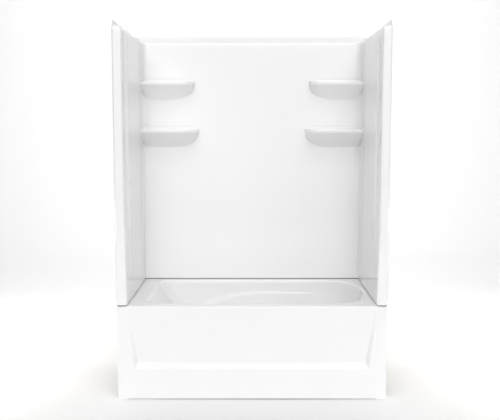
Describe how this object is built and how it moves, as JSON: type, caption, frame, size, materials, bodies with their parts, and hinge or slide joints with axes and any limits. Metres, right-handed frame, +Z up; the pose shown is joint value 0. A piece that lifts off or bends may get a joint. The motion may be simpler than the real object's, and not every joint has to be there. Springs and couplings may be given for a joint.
{
  "type": "tub and shower unit",
  "caption": "Sectional alcove bathtub and shower surround with a recessed apron, moulded armrests, corner shelves and nailing flanges, drain on the right.",
  "frame": {"origin": "on the floor, under the middle of the unit's width and depth", "axes": "+Z up, +X towards the drain end, +Y from the apron towards the back studs"},
  "size_m": [1.524, 0.826, 2.111],
  "materials": {
    "gelcoat": "high gloss white gelcoat",
    "timber": "planed softwood",
    "plywood": "raw plywood",
    "seal_foam": "closed-cell foam strip",
    "zinc_steel": "zinc plated"
  },
  "bodies": {
    "root": {"apron_brace_left": "timber", "apron_brace_middle": "timber", "apron_brace_right": "timber", "back_wall": "gelcoat", "backing_back_high": "plywood", "backing_back_low": "plywood", "backing_back_middle": "plywood", "backing_left_high": "plywood", "backing_left_low": "plywood", "backing_left_middle": "plywood", "backing_right_high": "plywood", "backing_right_low": "plywood", "backing_right_middle": "plywood", "base_runner_left": "timber", "base_runner_middle": "timber", "base_runner_right": "timber", "basin_base_board": "plywood", "deck_seal_back": "seal_foam", "deck_seal_left": "seal_foam", "deck_seal_right": "seal_foam", "deck_stiffener_back": "timber", "deck_stiffener_front": "timber", "deck_stiffener_left": "timber", "deck_stiffener_right_back": "timber", "deck_stiffener_right_front": "timber", "end_wall_left": "gelcoat", "end_wall_right": "gelcoat", "seam_bolt_left_1": "zinc_steel", "seam_bolt_left_2": "zinc_steel", "seam_bolt_left_3": "zinc_steel", "seam_bolt_left_4": "zinc_steel", "seam_bolt_left_5": "zinc_steel", "seam_bolt_right_1": "zinc_steel", "seam_bolt_right_2": "zinc_steel", "seam_bolt_right_3": "zinc_steel", "seam_bolt_right_4": "zinc_steel", "seam_bolt_right_5": "zinc_steel", "seam_nut_left_1": "zinc_steel", "seam_nut_left_2": "zinc_steel", "seam_nut_left_3": "zinc_steel", "seam_nut_left_4": "zinc_steel", "seam_nut_left_5": "zinc_steel", "seam_nut_right_1": "zinc_steel", "seam_nut_right_2": "zinc_steel", "seam_nut_right_3": "zinc_steel", "seam_nut_right_4": "zinc_steel", "seam_nut_right_5": "zinc_steel", "seam_seal_left": "seal_foam", "seam_seal_right": "seal_foam", "tub_shell": "gelcoat"}
  },
  "joints": []
}
